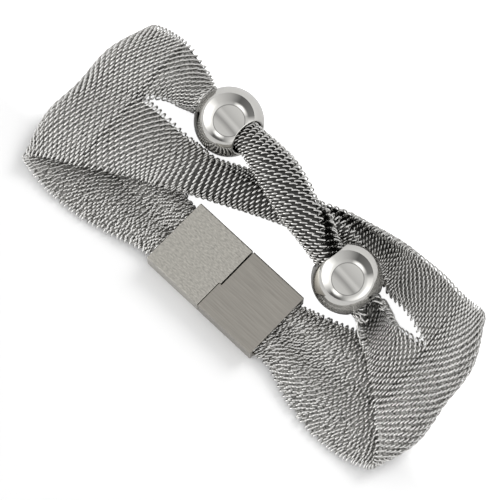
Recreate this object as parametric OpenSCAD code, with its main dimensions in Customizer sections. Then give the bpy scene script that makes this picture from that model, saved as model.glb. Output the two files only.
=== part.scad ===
// Mesh bracelet: one wide ring-mesh band, slit along its front into two strands that cross once.
// The strand on top carries two bored steel balls, and a flat two-part clasp closes the loop.
// The closed loop lies folded flat: the clasp side is the lower layer, the ball side the upper one.
// +X runs along the loop towards the right fold, +Y away from the near edge, +Z up.
// The origin is the middle of the clasp's resting face.

/* [Mesh band] */
// Width of the band when it is spread flat
band_w = 35.5; // [32:0.5:39]
// Thickness of the mesh
mesh_t = 1.2; // [0.9:0.05:1.4]
// Reach of the folds from the middle of the clasp, before their lobes
half_span = 46.5; // [43:0.5:52]
// Height of the folds over the surface that the bracelet lies on
fold_h = 9.4; // [8.4:0.2:11]

/* [Gathered strands] */
// Height of a strand where it is gathered into a round bundle
bundle_h = 6; // [5.4:0.1:6.4]
// Space between the two bundles where they cross
cross_gap = 0.6; // [0.4:0.1:1]
// Space between the lower bundle and the surface that the bracelet lies on
bundle_lift = 0.4; // [0.2:0.1:0.8]
// Angle that a gathered strand wraps round its bundle
wrap_angle = 300; // [280:5:310]

/* [Balls] */
// Diameter of a ball
ball_d = 13.6; // [12.6:0.2:14.4]
// Diameter of the bore through a ball
bore_d = 7.2; // [6.6:0.1:7.8]
// Space between a gathered strand and the bore
bore_gap = 0.3; // [0.2:0.05:0.5]
// Width of the chamfer round each mouth of the bore
bore_chamfer = 0.35; // [0.2:0.05:0.5]

/* [Clasp] */
// Length of the closed clasp
clasp_l = 27; // [24:0.5:30]
// Width of the clasp
clasp_w = 14.9; // [13.5:0.1:16]
// Thickness of the clasp
clasp_t = 5; // [4.6:0.1:6]
// Wall at the sides of the open ends
side_wall = 0.9; // [0.7:0.1:1.1]
// Wall above and below the open ends
face_wall = 0.8; // [0.6:0.05:0.9]
// Depth of the open ends
socket_l = 4; // [3:0.5:5]
// Space between the end of the mesh and the bottom of the open end
end_gap = 0.5; // [0.3:0.1:1]
// Space between the mesh and the walls of the open ends
socket_gap = 0.25; // [0.15:0.05:0.35]
// Chamfer along the clasp's long edges
edge_chamfer = 0.25; // [0.15:0.05:0.4]
// Step in the line where the two halves meet
seam_step = 0.4; // [0.2:0.1:0.8]
// Gap between the two halves along the near part of that line
seam_gap = 0.12; // [0.08:0.02:0.2]
// Width of the groove between the two halves along the far part
groove_w = 0.3; // [0.2:0.05:0.5]

/* [Hidden] */

// Cross sections of the band between two table rows
STEPS = 3;
// Facets across one strand
FACETS = 14;
// Full lengthwise pleats across the whole band
PLEATS = 2;

mouth_x = clasp_l / 2;
fold_run = half_span - mouth_x;
fold_rise = fold_h - mesh_t;
bundle_b = (bundle_h - mesh_t) / 2;
under_z = bundle_lift + bundle_h / 2;
over_z = under_z + bundle_h + cross_gap;
socket_h = clasp_t - 2 * face_wall;
socket_w = clasp_w - 2 * side_wall;
pleat_h = (socket_h - mesh_t) / 2 - socket_gap;
mouth_half = socket_w / 2 - socket_gap;
rolled_r = bore_d / 2 - bore_gap - mesh_t / 2;

// Where the balls sit: share of half_span, share of band_w, heading and rise of the bore in degrees
BALL_PLACES = [
    [-0.441, 0.634, -3, 18],
    [0.368, 0.431, -9, -16],
];
LEFT = 0;
RIGHT = 1;
// Where the line between the clasp halves steps, as a share of its width from the middle
SEAM_SPLIT = 0.1;
// Distances from a ball's middle to the mesh rows just outside it and to where the bundle opens,
// in ball diameters
BALL_ROW = 0.485;
FLARE_ROW = 0.60;

// Cross sections of the closed band from the clasp round a fold to the end of the slit.
// out: share of the run from clasp mouth to fold; y: share of band_w; z: share of the fold's rise;
// slit: share of the width at the slit line; bow: how far the middle stands out, as a share of
// the run; pleat: height of the lengthwise pleats as a share of that inside the clasp.
LEFT_ROWS = [
    // near edge           far edge             slit  bow    pleat
    [0.105, -0.190, 0.18,  0.110, 0.200, 0.18,  0.50, 0.000, 0.85],
    [0.290, -0.240, 0.11,  0.290, 0.255, 0.11,  0.50, 0.000, 0.60],
    [0.500, -0.285, 0.06,  0.485, 0.325, 0.06,  0.50, 0.000, 0.35],
    [0.710, -0.300, 0.05,  0.695, 0.430, 0.06,  0.50, 0.010, 0.00],
    [0.886, -0.285, 0.12,  0.856, 0.600, 0.16,  0.50, 0.035, -0.30],
    [0.963, -0.255, 0.29,  0.938, 0.708, 0.51,  0.50, 0.055, -0.50],
    [0.893, -0.205, 0.46,  0.878, 0.752, 0.89,  0.52, 0.045, -0.55],
    [0.690, -0.100, 0.51,  0.700, 0.757, 1.00,  0.56, 0.005, -0.50],
];
RIGHT_ROWS = [
    // near edge           far edge             slit  bow    pleat
    [0.120, -0.180, 0.18,  0.100, 0.210, 0.18,  0.50, 0.000, 0.85],
    [0.305, -0.240, 0.11,  0.270, 0.270, 0.11,  0.50, 0.000, 0.60],
    [0.520, -0.280, 0.06,  0.465, 0.355, 0.06,  0.50, 0.000, 0.35],
    [0.725, -0.275, 0.05,  0.660, 0.485, 0.06,  0.50, 0.030, 0.00],
    [0.876, -0.240, 0.12,  0.780, 0.665, 0.16,  0.50, 0.085, -0.35],
    [0.952, -0.195, 0.29,  0.830, 0.785, 0.51,  0.50, 0.110, -0.55],
    [0.900, -0.125, 0.46,  0.790, 0.795, 0.87,  0.50, 0.095, -0.55],
    [0.720, 0.030, 0.54,   0.665, 0.780, 0.95,  0.55, 0.020, -0.45],
];

// Cross sections of the two strands, from left to right.
// x: share of half_span; y: share of band_w; z: share of the fold's rise, or of the bundle's
// height where it crosses; bulge: share of a bundle's half height; wrap: share of wrap_angle;
// turn: degrees that the strand has turned, far edge over the top to the near side; pleat: as above.
TOP_IN = [
    // near side            far side             bulge wrap turn pleat
    [-0.700, 0.500, 0.66,  -0.705, 0.752, 0.78,  0.50, 0.33, 0, -0.45],
];
TOP_CROSS = [
    [-0.160, 0.490, 0.98,  -0.127, 0.693, 0.98,  1.08, 1.00, 58, 0],
    [0.005, 0.425, 1.00,    0.052, 0.640, 1.00,  1.04, 1.00, 90, 0],
    [0.110, 0.405, 0.97,    0.138, 0.606, 0.97,  1.04, 1.00, 122, 0],
];
TOP_OUT = [
    [0.654, 0.186, 0.51,    0.645, 0.423, 0.73,  0.50, 0.40, 180, -0.40],
];
UNDER_IN = [
    [-0.637, 0.010, 0.51,  -0.658, 0.415, 0.83,  0.42, 0.23, 0, -0.35],
    [-0.495, 0.125, 0.46,  -0.508, 0.415, 0.63,  0.71, 0.57, 0, -0.20],
    [-0.420, 0.180, 0.44,  -0.440, 0.425, 0.55,  0.82, 0.77, 4, 0],
    [-0.344, 0.230, 0.41,  -0.374, 0.440, 0.475, 0.92, 0.93, 10, 0],
];
UNDER_CROSS = [
    [-0.205, 0.320, 1.06,  -0.258, 0.520, 1.06,  1.00, 1.00, 35, 0],
    [-0.095, 0.390, 1.00,  -0.155, 0.575, 1.00,  1.00, 1.00, 60, 0],
    [0.013, 0.450, 1.00,   -0.055, 0.630, 1.00,  1.00, 1.00, 90, 0],
    [0.120, 0.505, 1.03,    0.068, 0.670, 1.03,  1.00, 1.00, 120, 0],
    [0.240, 0.582, 1.06,    0.205, 0.728, 1.06,  0.92, 1.00, 150, 0],
];
UNDER_OUT = [
    [0.375, 0.635, 0.16,    0.357, 0.768, 0.44,  0.75, 0.77, 176, 0],
    [0.450, 0.600, 0.34,    0.432, 0.780, 0.56,  0.72, 0.64, 178, 0],
    [0.525, 0.545, 0.54,    0.508, 0.790, 0.68,  0.67, 0.50, 180, -0.20],
    [0.650, 0.520, 0.76,    0.637, 0.800, 0.80,  0.42, 0.30, 180, -0.35],
];

// Bulge and wrap of the flat band, as shares
FLAT = [0.01, 0.13];

function ball_centre(side) =
    [BALL_PLACES[side][0] * half_span, BALL_PLACES[side][1] * band_w, ball_d / 2];

// Direction of a ball's bore
function bore_axis(side) =
    let (heading = BALL_PLACES[side][2], rise = BALL_PLACES[side][3])
    [cos(heading) * cos(rise), sin(heading) * cos(rise), sin(rise)];

// A strand's full row: near side, far side, bulge, wrap, turn, bow, pleat, all in millimetres or degrees
function strand_row(near, far, bulge, wrap, turn, bow, pleat) =
    concat(near, far, [bulge * bundle_b, wrap * wrap_angle, turn, bow, pleat]);

// Row inside or beside a ball, at a distance along its bore given in ball diameters. open is how
// much wider than in the bore the bundle is there.
function ball_row(side, along, open, wrap, turn) =
    let (
        heading = BALL_PLACES[side][2],
        across = [-sin(heading), cos(heading), 0] * rolled_r * open,
        middle = ball_centre(side) + bore_axis(side) * along * ball_d,
        bulge = rolled_r * open / bundle_b
    )
    strand_row(middle - across, middle + across, bulge, wrap, turn, 0, 0);

function ball_rows(side, turns) =
    [for (k = [0:2]) ball_row(side, (k - 1) * BALL_ROW, 1, 1, turns[k])];

// Row where the bundle begins to open again, past the outer end of a bore
function flare_row(side, sign, turn) = ball_row(side, sign * FLARE_ROW, 1.15, 0.85, turn);

// Row of a strand table, whose heights are shares of a given height over a base
function table_row(row, base, rise) =
    strand_row(
        [row[0] * half_span, row[1] * band_w, base + row[2] * rise],
        [row[3] * half_span, row[4] * band_w, base + row[5] * rise],
        row[6], row[7], row[8], 0, row[9] * pleat_h
    );

function open_rows(table) = [for (row = table) table_row(row, mesh_t / 2, fold_rise)];
function cross_rows(table, height) = [for (row = table) table_row(row, 0, height)];

// Half of a closed-band row: its near half, or its far half beyond the slit line
function half_row(near, far, slit, near_half, turn, bow, pleat) =
    let (split = near + (far - near) * slit)
    strand_row(near_half ? near : split, near_half ? split : far, FLAT[0], FLAT[1], turn, bow, pleat);

// Rows in and at the mouth of the clasp, for the side with that sign
function clasp_rows(sign, near_half, turn) =
    [for (x = [mouth_x - socket_l + end_gap, mouth_x])
        half_row([sign * x, -mouth_half, clasp_t / 2], [sign * x, mouth_half, clasp_t / 2],
            0.5, near_half, turn, 0, pleat_h)];

// Rows of one side of the closed band, from the clasp to the end of the slit
function side_rows(sign, table, near_half, turn) =
    concat(clasp_rows(sign, near_half, turn), [for (row = table)
        half_row(
            [sign * (mouth_x + row[0] * fold_run), row[1] * band_w, mesh_t / 2 + row[2] * fold_rise],
            [sign * (mouth_x + row[3] * fold_run), row[4] * band_w, mesh_t / 2 + row[5] * fold_rise],
            row[6], near_half, turn, sign * row[7] * fold_run, row[8] * pleat_h)]);

function reversed(list) = [for (i = [len(list) - 1:-1:0]) list[i]];

// All rows of a strand from the left half of the clasp to the right half. The strand that is
// nearer on the left is farther on the right, turned over.
function all_rows(middle, near_on_left) =
    concat(
        side_rows(-1, LEFT_ROWS, near_on_left, 0),
        middle,
        reversed(side_rows(1, RIGHT_ROWS, !near_on_left, 180))
    );

UNDER_ROWS = all_rows(
    concat(open_rows(UNDER_IN), cross_rows(UNDER_CROSS, under_z), open_rows(UNDER_OUT)),
    true
);
TOP_ROWS = all_rows(
    concat(
        open_rows(TOP_IN),
        [flare_row(LEFT, -1, 0)],
        ball_rows(LEFT, [0, 8, 22]),
        cross_rows(TOP_CROSS, over_z),
        ball_rows(RIGHT, [158, 172, 180]),
        [flare_row(RIGHT, 1, 180)],
        open_rows(TOP_OUT)
    ),
    false
);

// Point of a smooth curve through four values, between the middle two
function smooth(a, b, c, d, s) =
    0.5 * (2 * b + (c - a) * s + (2 * a - 5 * b + 4 * c - d) * s * s + (3 * b - a - 3 * c + d) * s * s * s);

// The rows with STEPS sections for each row of the table
function refine(rows) =
    let (last = len(rows) - 1)
    concat(
        [for (i = [0:last - 1], k = [0:STEPS - 1])
            smooth(rows[max(i - 1, 0)], rows[i], rows[i + 1], rows[min(i + 2, last)], k / STEPS)],
        [rows[last]]
    );

function near_of(row) = [row[0], row[1], row[2]];
function far_of(row) = [row[3], row[4], row[5]];
function middle_of(row) = (near_of(row) + far_of(row)) / 2;
function unit(v) = v / norm(v);

// Direction that points out of the loop at a row
function outward(rows, i) =
    let (
        last = len(rows) - 1,
        across = unit(far_of(rows[i]) - near_of(rows[i])),
        ahead = middle_of(rows[min(i + 1, last)]) - middle_of(rows[max(i - 1, 0)])
    )
    unit(cross(ahead - across * (ahead * across), across));

// Point of a strand at row i. t runs from -1 to 1 across the strand: the strip is bent to an arc of
// the wrap angle, turned, and stretched to the row's width and height. v is its share of the band.
function strand_point(rows, i, t, v) =
    let (
        row = rows[i],
        half = row[7] / 2,
        side = half < 90 ? sin(half) : 1,
        floor_c = half < 90 ? cos(half) : 0,
        a = sin(half * t) / side,
        b = (cos(half * t) - floor_c) / (1 - floor_c),
        out = outward(rows, i),
        lift = row[6] * (a * sin(row[8]) + b * cos(row[8])) + row[10] * cos(360 * PLEATS * v)
    )
    middle_of(row)
        + (far_of(row) - near_of(row)) / 2 * (a * cos(row[8]) - b * sin(row[8]))
        + out * lift
        + [row[9] * (1 - pow(2 * v - 1, 2)), 0, 0];

function strand_grid(rows, first_v) =
    [for (i = [0:len(rows) - 1]) [for (j = [0:FACETS])
        strand_point(rows, i, 2 * j / FACETS - 1, first_v + j / FACETS / 2)]];

UNDER_RAW = strand_grid(refine(UNDER_ROWS), 0);
TOP_RAW = strand_grid(refine(TOP_ROWS), 0.5);
LAST = len(UNDER_RAW) - 1;
SLIT_START = (len(LEFT_ROWS) + 1) * STEPS;
SLIT_END = LAST - (len(RIGHT_ROWS) + 1) * STEPS;

// Whether the two strands are one band at this section
function is_joined(i) = i <= SLIT_START || i >= SLIT_END;

// The strands with their meeting columns brought together where they are one band
UNDER = [for (i = [0:LAST]) [for (j = [0:FACETS])
    is_joined(i)
        ? UNDER_RAW[i][j] + (TOP_RAW[i][0] - UNDER_RAW[i][FACETS]) / 2 * j / FACETS
        : UNDER_RAW[i][j]]];
TOP = [for (i = [0:LAST]) [for (j = [0:FACETS])
    is_joined(i)
        ? TOP_RAW[i][j] + (UNDER_RAW[i][FACETS] - TOP_RAW[i][0]) / 2 * (1 - j / FACETS)
        : TOP_RAW[i][j]]];

// Middle surface of the band, column 0 to FACETS for the under strand and on for the top one
function mid_point(i, k) = k <= FACETS ? UNDER[i][k] : TOP[i][k - FACETS - 1];

// Neighbour column on the same piece of mesh; the two meeting columns are 14 and 15 of one place
function column_before(i, k) =
    k == 0 ? 0 : k == FACETS + 1 ? (is_joined(i) ? FACETS - 1 : k) : k - 1;
function column_after(i, k) =
    k == 2 * FACETS + 1 ? k : k == FACETS ? (is_joined(i) ? FACETS + 2 : k) : k + 1;

function surface_normal(i, k) =
    unit(cross(
        mid_point(min(i + 1, LAST), k) - mid_point(max(i - 1, 0), k),
        mid_point(i, column_after(i, k)) - mid_point(i, column_before(i, k))
    ));

COLUMNS = 2 * FACETS + 2;
// Layer 0 is the outer face of the mesh and layer 1 the inner one
BAND_POINTS = [for (layer = [0, 1], i = [0:LAST], k = [0:COLUMNS - 1])
    mid_point(i, k) + surface_normal(i, k) * (0.5 - layer) * mesh_t];

// Index of a point; the top strand's first column is the under strand's last where they are one
function point_at(layer, i, k) =
    (layer * (LAST + 1) + i) * COLUMNS + (k == FACETS + 1 && is_joined(i) ? FACETS : k);

function two_triangles(a, b, c, d) = [[a, c, b], [a, d, c]];

// Wall between the outer and the inner face, along a column or along a section
function column_wall(k, i, flip) =
    let (
        a = point_at(0, i, k), b = point_at(1, i, k),
        c = point_at(1, i + 1, k), d = point_at(0, i + 1, k)
    )
    flip ? two_triangles(a, d, c, b) : two_triangles(a, b, c, d);

function section_wall(i, k, flip) =
    let (
        a = point_at(0, i, k), b = point_at(0, i, k + 1),
        c = point_at(1, i, k + 1), d = point_at(1, i, k)
    )
    flip ? two_triangles(a, d, c, b) : two_triangles(a, b, c, d);

CELL_COLUMNS = [for (k = [0:COLUMNS - 2]) if (k != FACETS) k];

BAND_FACES = concat(
    [for (i = [0:LAST - 1], k = CELL_COLUMNS) each two_triangles(
        point_at(0, i, k), point_at(0, i + 1, k), point_at(0, i + 1, k + 1), point_at(0, i, k + 1))],
    [for (i = [0:LAST - 1], k = CELL_COLUMNS) each two_triangles(
        point_at(1, i, k), point_at(1, i, k + 1), point_at(1, i + 1, k + 1), point_at(1, i + 1, k))],
    [for (i = [0:LAST - 1]) each column_wall(0, i, false)],
    [for (i = [0:LAST - 1]) each column_wall(COLUMNS - 1, i, true)],
    [for (i = [SLIT_START:SLIT_END - 1]) each column_wall(FACETS, i, true)],
    [for (i = [SLIT_START:SLIT_END - 1]) each column_wall(FACETS + 1, i, false)],
    [for (k = CELL_COLUMNS) each section_wall(0, k, false)],
    [for (k = CELL_COLUMNS) each section_wall(LAST, k, true)]
);

module mesh_band() {
    color("#8c8a86") polyhedron(points = BAND_POINTS, faces = BAND_FACES, convexity = 12);
}

// Ball with a bore along its own X, chamfered at both mouths
module bored_ball() {
    bore_r = bore_d / 2;
    rim_r = bore_r + bore_chamfer;
    rim_z = sqrt(pow(ball_d / 2, 2) - pow(rim_r, 2));
    beyond = 1;
    rotate([0, 90, 0]) rotate_extrude($fn = 96) intersection() {
        circle(d = ball_d, $fn = 96);
        polygon([
            [bore_r, -rim_z + bore_chamfer], [rim_r + beyond, -rim_z - beyond],
            [ball_d, -rim_z - beyond], [ball_d, rim_z + beyond],
            [rim_r + beyond, rim_z + beyond], [bore_r, rim_z - bore_chamfer]
        ]);
    }
}

module placed_ball(side) {
    color("#c9c8c6") translate(ball_centre(side))
        rotate([0, -BALL_PLACES[side][3], BALL_PLACES[side][2]]) bored_ball();
}

// Clasp bar of the whole clasp's cross section, from one X to another
module clasp_bar(x0, x1) {
    h = clasp_w / 2;
    c = edge_chamfer;
    translate([x0, 0, 0]) rotate([90, 0, 90]) linear_extrude(x1 - x0)
        polygon([
            [-h + c, 0], [h - c, 0], [h, c], [h, clasp_t - c],
            [h - c, clasp_t], [-h + c, clasp_t], [-h, clasp_t - c], [-h, c]
        ]);
}

// Everything left of the line where the halves meet. The near part of that line lies at one X
// and the far part, past the step, at a greater one.
module left_of_seam(near_x, far_x) {
    translate([-clasp_l, -clasp_w, -clasp_t]) cube([clasp_l + near_x, 2 * clasp_w, 3 * clasp_t]);
    translate([-clasp_l, -SEAM_SPLIT * clasp_w, -clasp_t])
        cube([clasp_l + far_x, 2 * clasp_w, 3 * clasp_t]);
}

// Open end that takes the mesh, at the end of that sign
module socket(sign) {
    translate([sign * (mouth_x - socket_l / 2 + 0.5), 0, clasp_t / 2])
        cube([socket_l + 1, socket_w, socket_h], center = true);
}

module clasp_left() {
    color("#a9a69c") difference() {
        intersection() {
            clasp_bar(-mouth_x, mouth_x);
            left_of_seam(-seam_step / 2, seam_step / 2);
        }
        socket(-1);
    }
}

module clasp_right() {
    color("#98948c") difference() {
        clasp_bar(-mouth_x, mouth_x);
        left_of_seam(-seam_step / 2 + seam_gap, seam_step / 2 + groove_w);
        socket(1);
    }
}

mesh_band();
placed_ball(LEFT);  // ball_left
placed_ball(RIGHT);  // ball_right
clasp_left();
clasp_right();
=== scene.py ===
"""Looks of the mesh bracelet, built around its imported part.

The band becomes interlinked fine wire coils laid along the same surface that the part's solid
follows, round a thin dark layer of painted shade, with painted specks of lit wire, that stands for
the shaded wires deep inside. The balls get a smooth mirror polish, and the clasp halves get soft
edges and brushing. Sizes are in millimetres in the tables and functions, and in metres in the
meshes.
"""

import bmesh
import bpy
import numpy as np
from mathutils import Matrix, Vector


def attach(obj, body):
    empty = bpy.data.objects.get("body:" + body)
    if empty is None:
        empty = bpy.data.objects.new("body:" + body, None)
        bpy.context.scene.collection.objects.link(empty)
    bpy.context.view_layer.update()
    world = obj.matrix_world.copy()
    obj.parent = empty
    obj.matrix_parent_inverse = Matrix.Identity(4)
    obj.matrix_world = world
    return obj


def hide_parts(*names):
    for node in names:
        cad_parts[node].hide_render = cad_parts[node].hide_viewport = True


bl_info = {
    "name": "Mesh bracelet",
    "version": (1, 0, 0),
    "blender": (4, 5, 0),
    "location": "3D View > Sidebar > Bracelet",
    "description": "Linked coil mesh, polished balls and a brushed clasp around the packed part",
    "category": "Object",
}

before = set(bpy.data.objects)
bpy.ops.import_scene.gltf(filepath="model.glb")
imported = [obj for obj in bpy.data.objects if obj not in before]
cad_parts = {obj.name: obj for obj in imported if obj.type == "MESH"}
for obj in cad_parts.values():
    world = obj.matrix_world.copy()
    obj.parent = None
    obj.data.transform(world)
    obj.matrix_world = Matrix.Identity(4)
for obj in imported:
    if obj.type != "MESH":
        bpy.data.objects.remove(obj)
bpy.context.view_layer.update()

MM = 0.001
BODY = "root"
SEED = 7

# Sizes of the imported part, in millimetres
BAND_W, MESH_T, HALF_SPAN, FOLD_H = 35.5, 1.2, 46.5, 9.4
BUNDLE_H, CROSS_GAP, BUNDLE_LIFT, WRAP = 6.0, 0.6, 0.4, 300.0
BALL_D, BORE_D, BORE_GAP, BORE_CHAMFER = 13.6, 7.2, 0.3, 0.35
CLASP_L, CLASP_W, CLASP_T = 27.0, 14.9, 5.0
SIDE_WALL, FACE_WALL, SOCKET_L, END_GAP, SOCKET_GAP = 0.9, 0.8, 4.0, 0.5, 0.25
PLEATS = 2

MOUTH_X = CLASP_L / 2
FOLD_RUN = HALF_SPAN - MOUTH_X
FOLD_RISE = FOLD_H - MESH_T
BUNDLE_B = (BUNDLE_H - MESH_T) / 2
UNDER_Z = BUNDLE_LIFT + BUNDLE_H / 2
OVER_Z = UNDER_Z + BUNDLE_H + CROSS_GAP
PLEAT_H = (CLASP_T - 2 * FACE_WALL - MESH_T) / 2 - SOCKET_GAP
MOUTH_HALF = CLASP_W / 2 - SIDE_WALL - SOCKET_GAP
ROLLED_R = BORE_D / 2 - BORE_GAP - MESH_T / 2

# Where the balls sit: share of half span, share of band width, heading and rise in degrees
BALLS = {"left": (-0.441, 0.634, -3, 18), "right": (0.368, 0.431, -9, -16)}
# Turns of the strand's rows in each ball, and places of its rows in and beside a ball, in ball
# diameters from the middle. Beside a ball the strand flares to a share of its width and wrap
BALL_TURNS = {"left": (0, 8, 22), "right": (158, 172, 180)}
BALL_ROW, FLARE_ROW = 0.485, 0.60
FLARE_WIDTH, FLARE_WRAP = 1.15, 0.85

# Cross sections of the closed band, near edge and far edge: out, y, z as shares of the fold's run,
# the band's width and the fold's rise, then slit, bow and pleat
LEFT_ROWS = [
    (0.105, -0.190, 0.18, 0.110, 0.200, 0.18, 0.50, 0.000, 0.85),
    (0.290, -0.240, 0.11, 0.290, 0.255, 0.11, 0.50, 0.000, 0.60),
    (0.500, -0.285, 0.06, 0.485, 0.325, 0.06, 0.50, 0.000, 0.35),
    (0.710, -0.300, 0.05, 0.695, 0.430, 0.06, 0.50, 0.010, 0.00),
    (0.886, -0.285, 0.12, 0.856, 0.600, 0.16, 0.50, 0.035, -0.30),
    (0.963, -0.255, 0.29, 0.965, 0.708, 0.51, 0.50, 0.075, -0.50),
    (0.893, -0.205, 0.46, 0.925, 0.757, 0.89, 0.52, 0.065, -0.55),
    (0.690, -0.100, 0.51, 0.725, 0.792, 1.00, 0.56, 0.005, -0.50),
]
RIGHT_ROWS = [
    (0.120, -0.180, 0.18, 0.100, 0.210, 0.18, 0.50, 0.000, 0.85),
    (0.305, -0.240, 0.11, 0.270, 0.270, 0.11, 0.50, 0.000, 0.60),
    (0.520, -0.280, 0.06, 0.465, 0.355, 0.06, 0.50, 0.000, 0.35),
    (0.725, -0.275, 0.05, 0.660, 0.485, 0.06, 0.50, 0.030, 0.00),
    (0.876, -0.240, 0.12, 0.780, 0.665, 0.16, 0.50, 0.085, -0.35),
    (0.952, -0.195, 0.29, 0.830, 0.785, 0.51, 0.50, 0.110, -0.55),
    (0.900, -0.125, 0.46, 0.790, 0.795, 0.87, 0.50, 0.095, -0.55),
    (0.720, 0.030, 0.54, 0.665, 0.780, 0.95, 0.55, 0.020, -0.45),
]
# Cross sections of the strands, near side and far side: x, y, z as shares of half span, width and
# rise or bundle height, then bulge, wrap, turn and pleat
TOP_IN = [(-0.700, 0.500, 0.66, -0.700, 0.775, 0.78, 0.50, 0.33, 0, -0.45)]
TOP_CROSS = [
    (-0.160, 0.490, 0.98, -0.127, 0.693, 0.98, 1.08, 1.00, 58, 0),
    (0.005, 0.425, 1.00, 0.052, 0.640, 1.00, 1.04, 1.00, 90, 0),
    (0.110, 0.405, 0.97, 0.138, 0.606, 0.97, 1.04, 1.00, 122, 0),
]
TOP_OUT = [(0.654, 0.186, 0.51, 0.645, 0.423, 0.73, 0.50, 0.40, 180, -0.40)]
UNDER_IN = [
    (-0.637, 0.010, 0.51, -0.658, 0.415, 0.83, 0.42, 0.23, 0, -0.35),
    (-0.495, 0.125, 0.46, -0.508, 0.415, 0.63, 0.71, 0.57, 0, -0.20),
    (-0.420, 0.180, 0.44, -0.440, 0.425, 0.55, 0.82, 0.77, 4, 0),
    (-0.344, 0.230, 0.41, -0.374, 0.440, 0.475, 0.92, 0.93, 10, 0),
]
UNDER_CROSS = [
    (-0.205, 0.320, 1.06, -0.258, 0.520, 1.06, 1.00, 1.00, 35, 0),
    (-0.095, 0.390, 1.00, -0.155, 0.575, 1.00, 1.00, 1.00, 60, 0),
    (0.013, 0.450, 1.00, -0.055, 0.630, 1.00, 1.00, 1.00, 90, 0),
    (0.120, 0.505, 1.03, 0.068, 0.670, 1.03, 1.00, 1.00, 120, 0),
    (0.240, 0.582, 1.06, 0.205, 0.728, 1.06, 0.92, 1.00, 150, 0),
]
UNDER_OUT = [
    (0.375, 0.635, 0.16, 0.357, 0.768, 0.44, 0.75, 0.77, 176, 0),
    (0.450, 0.600, 0.34, 0.432, 0.780, 0.56, 0.72, 0.64, 178, 0),
    (0.525, 0.545, 0.54, 0.508, 0.790, 0.68, 0.67, 0.50, 180, -0.20),
    (0.650, 0.520, 0.76, 0.637, 0.800, 0.80, 0.42, 0.30, 180, -0.35),
]
# Bulge and wrap of the flat band, as shares
FLAT = (0.01, 0.13)

# Rows from the end in the clasp to the turn of each fold
LEFT_TURN_ROW, RIGHT_TURN_ROW = 7, 7

# Fine grid that the coils are laid on: sections for each table row, and columns across a strand
SUB, COLS = 16, 61
# Samples along half a turn of a coil, the stretch of the slit where the weave is drawn straight, and
# the share of that stretch over which the change comes in
HALF_TURN = 6
STRAIGHT, EASE = (0.04, 0.80), 0.28
# How unevenly the wire lies: spread of its turn in radians and of its place ahead in steps, and of a
# coil's width and height as shares
UNEVEN_TURN, UNEVEN_AHEAD, UNEVEN_WIDTH, UNEVEN_HEIGHT = 0.14, 0.10, 0.04, 0.05
# Bounds of the room for a coil, as a share of the coils' spacing, between which its width follows it
LEAST_ROOM, MOST_ROOM = 0.4, 1.15
# The dark inner layer of painted shade: columns across a strand, fine sections between its own, and
# the rows beside each end of the slit over which its painted shade deepens to full dark
DEPTH_COLS, DEPTH_STEP, GATHER_ROWS = 25, 3, 4


def strand_row(near, far, bulge, wrap, turn, bow=0.0, pleat=0.0):
    """One row: near side, far side, bulge, wrap angle, turn, bow and pleat height."""
    return [*near, *far, bulge * BUNDLE_B, wrap * WRAP, turn, bow, pleat]


def table_rows(rows, base, rise):
    """Rows of a strand table, with heights as shares of a rise over a base."""
    return [
        strand_row(
            (r[0] * HALF_SPAN, r[1] * BAND_W, base + r[2] * rise),
            (r[3] * HALF_SPAN, r[4] * BAND_W, base + r[5] * rise),
            *r[6:9], pleat=r[9] * PLEAT_H,
        )
        for r in rows
    ]


def ball_place(side):
    """Centre of a ball, the direction of its bore and the level direction across it."""
    x, y, heading, rise = BALLS[side]
    h, t = np.radians(heading), np.radians(rise)
    axis = np.array([np.cos(h) * np.cos(t), np.sin(h) * np.cos(t), np.sin(t)])
    return np.array([x * HALF_SPAN, y * BAND_W, BALL_D / 2]), axis, np.array([-np.sin(h), np.cos(h), 0])


def ball_row(side, along, wider, wrap, turn):
    """Row in or beside a ball, at a distance along its bore in ball diameters."""
    centre, axis, across = ball_place(side)
    middle, reach = centre + axis * along * BALL_D, across * ROLLED_R * wider
    return strand_row(middle - reach, middle + reach, ROLLED_R * wider / BUNDLE_B, wrap, turn)


def half_row(near, far, slit, near_half, turn, bow, pleat):
    """The near or far half of a row of the closed band."""
    near, far = np.array(near), np.array(far)
    split = near + (far - near) * slit
    ends = (near, split) if near_half else (split, far)
    return strand_row(*ends, *FLAT, turn, bow, pleat)


def side_rows(sign, rows, near_half, turn):
    """Rows from inside the clasp to the end of the slit, on the side with that sign."""
    found = [
        half_row((sign * x, -MOUTH_HALF, CLASP_T / 2), (sign * x, MOUTH_HALF, CLASP_T / 2),
                 0.5, near_half, turn, 0, PLEAT_H)
        for x in (MOUTH_X - SOCKET_L + END_GAP, MOUTH_X)
    ]
    for r in rows:
        near = (sign * (MOUTH_X + r[0] * FOLD_RUN), r[1] * BAND_W, MESH_T / 2 + r[2] * FOLD_RISE)
        far = (sign * (MOUTH_X + r[3] * FOLD_RUN), r[4] * BAND_W, MESH_T / 2 + r[5] * FOLD_RISE)
        found.append(half_row(near, far, r[6], near_half, turn, sign * r[7] * FOLD_RUN, r[8] * PLEAT_H))
    return found


def all_rows(middle, near_on_left):
    """Every row of one strand, from the left half of the clasp to the right half."""
    left = side_rows(-1, LEFT_ROWS, near_on_left, 0)
    right = side_rows(1, RIGHT_ROWS, not near_on_left, 180)
    return np.array(left + middle + right[::-1], float)


def under_rows():
    """Rows of the strand that passes below."""
    middle = (table_rows(UNDER_IN, MESH_T / 2, FOLD_RISE) + table_rows(UNDER_CROSS, 0, UNDER_Z)
              + table_rows(UNDER_OUT, MESH_T / 2, FOLD_RISE))
    return all_rows(middle, True)


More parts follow.
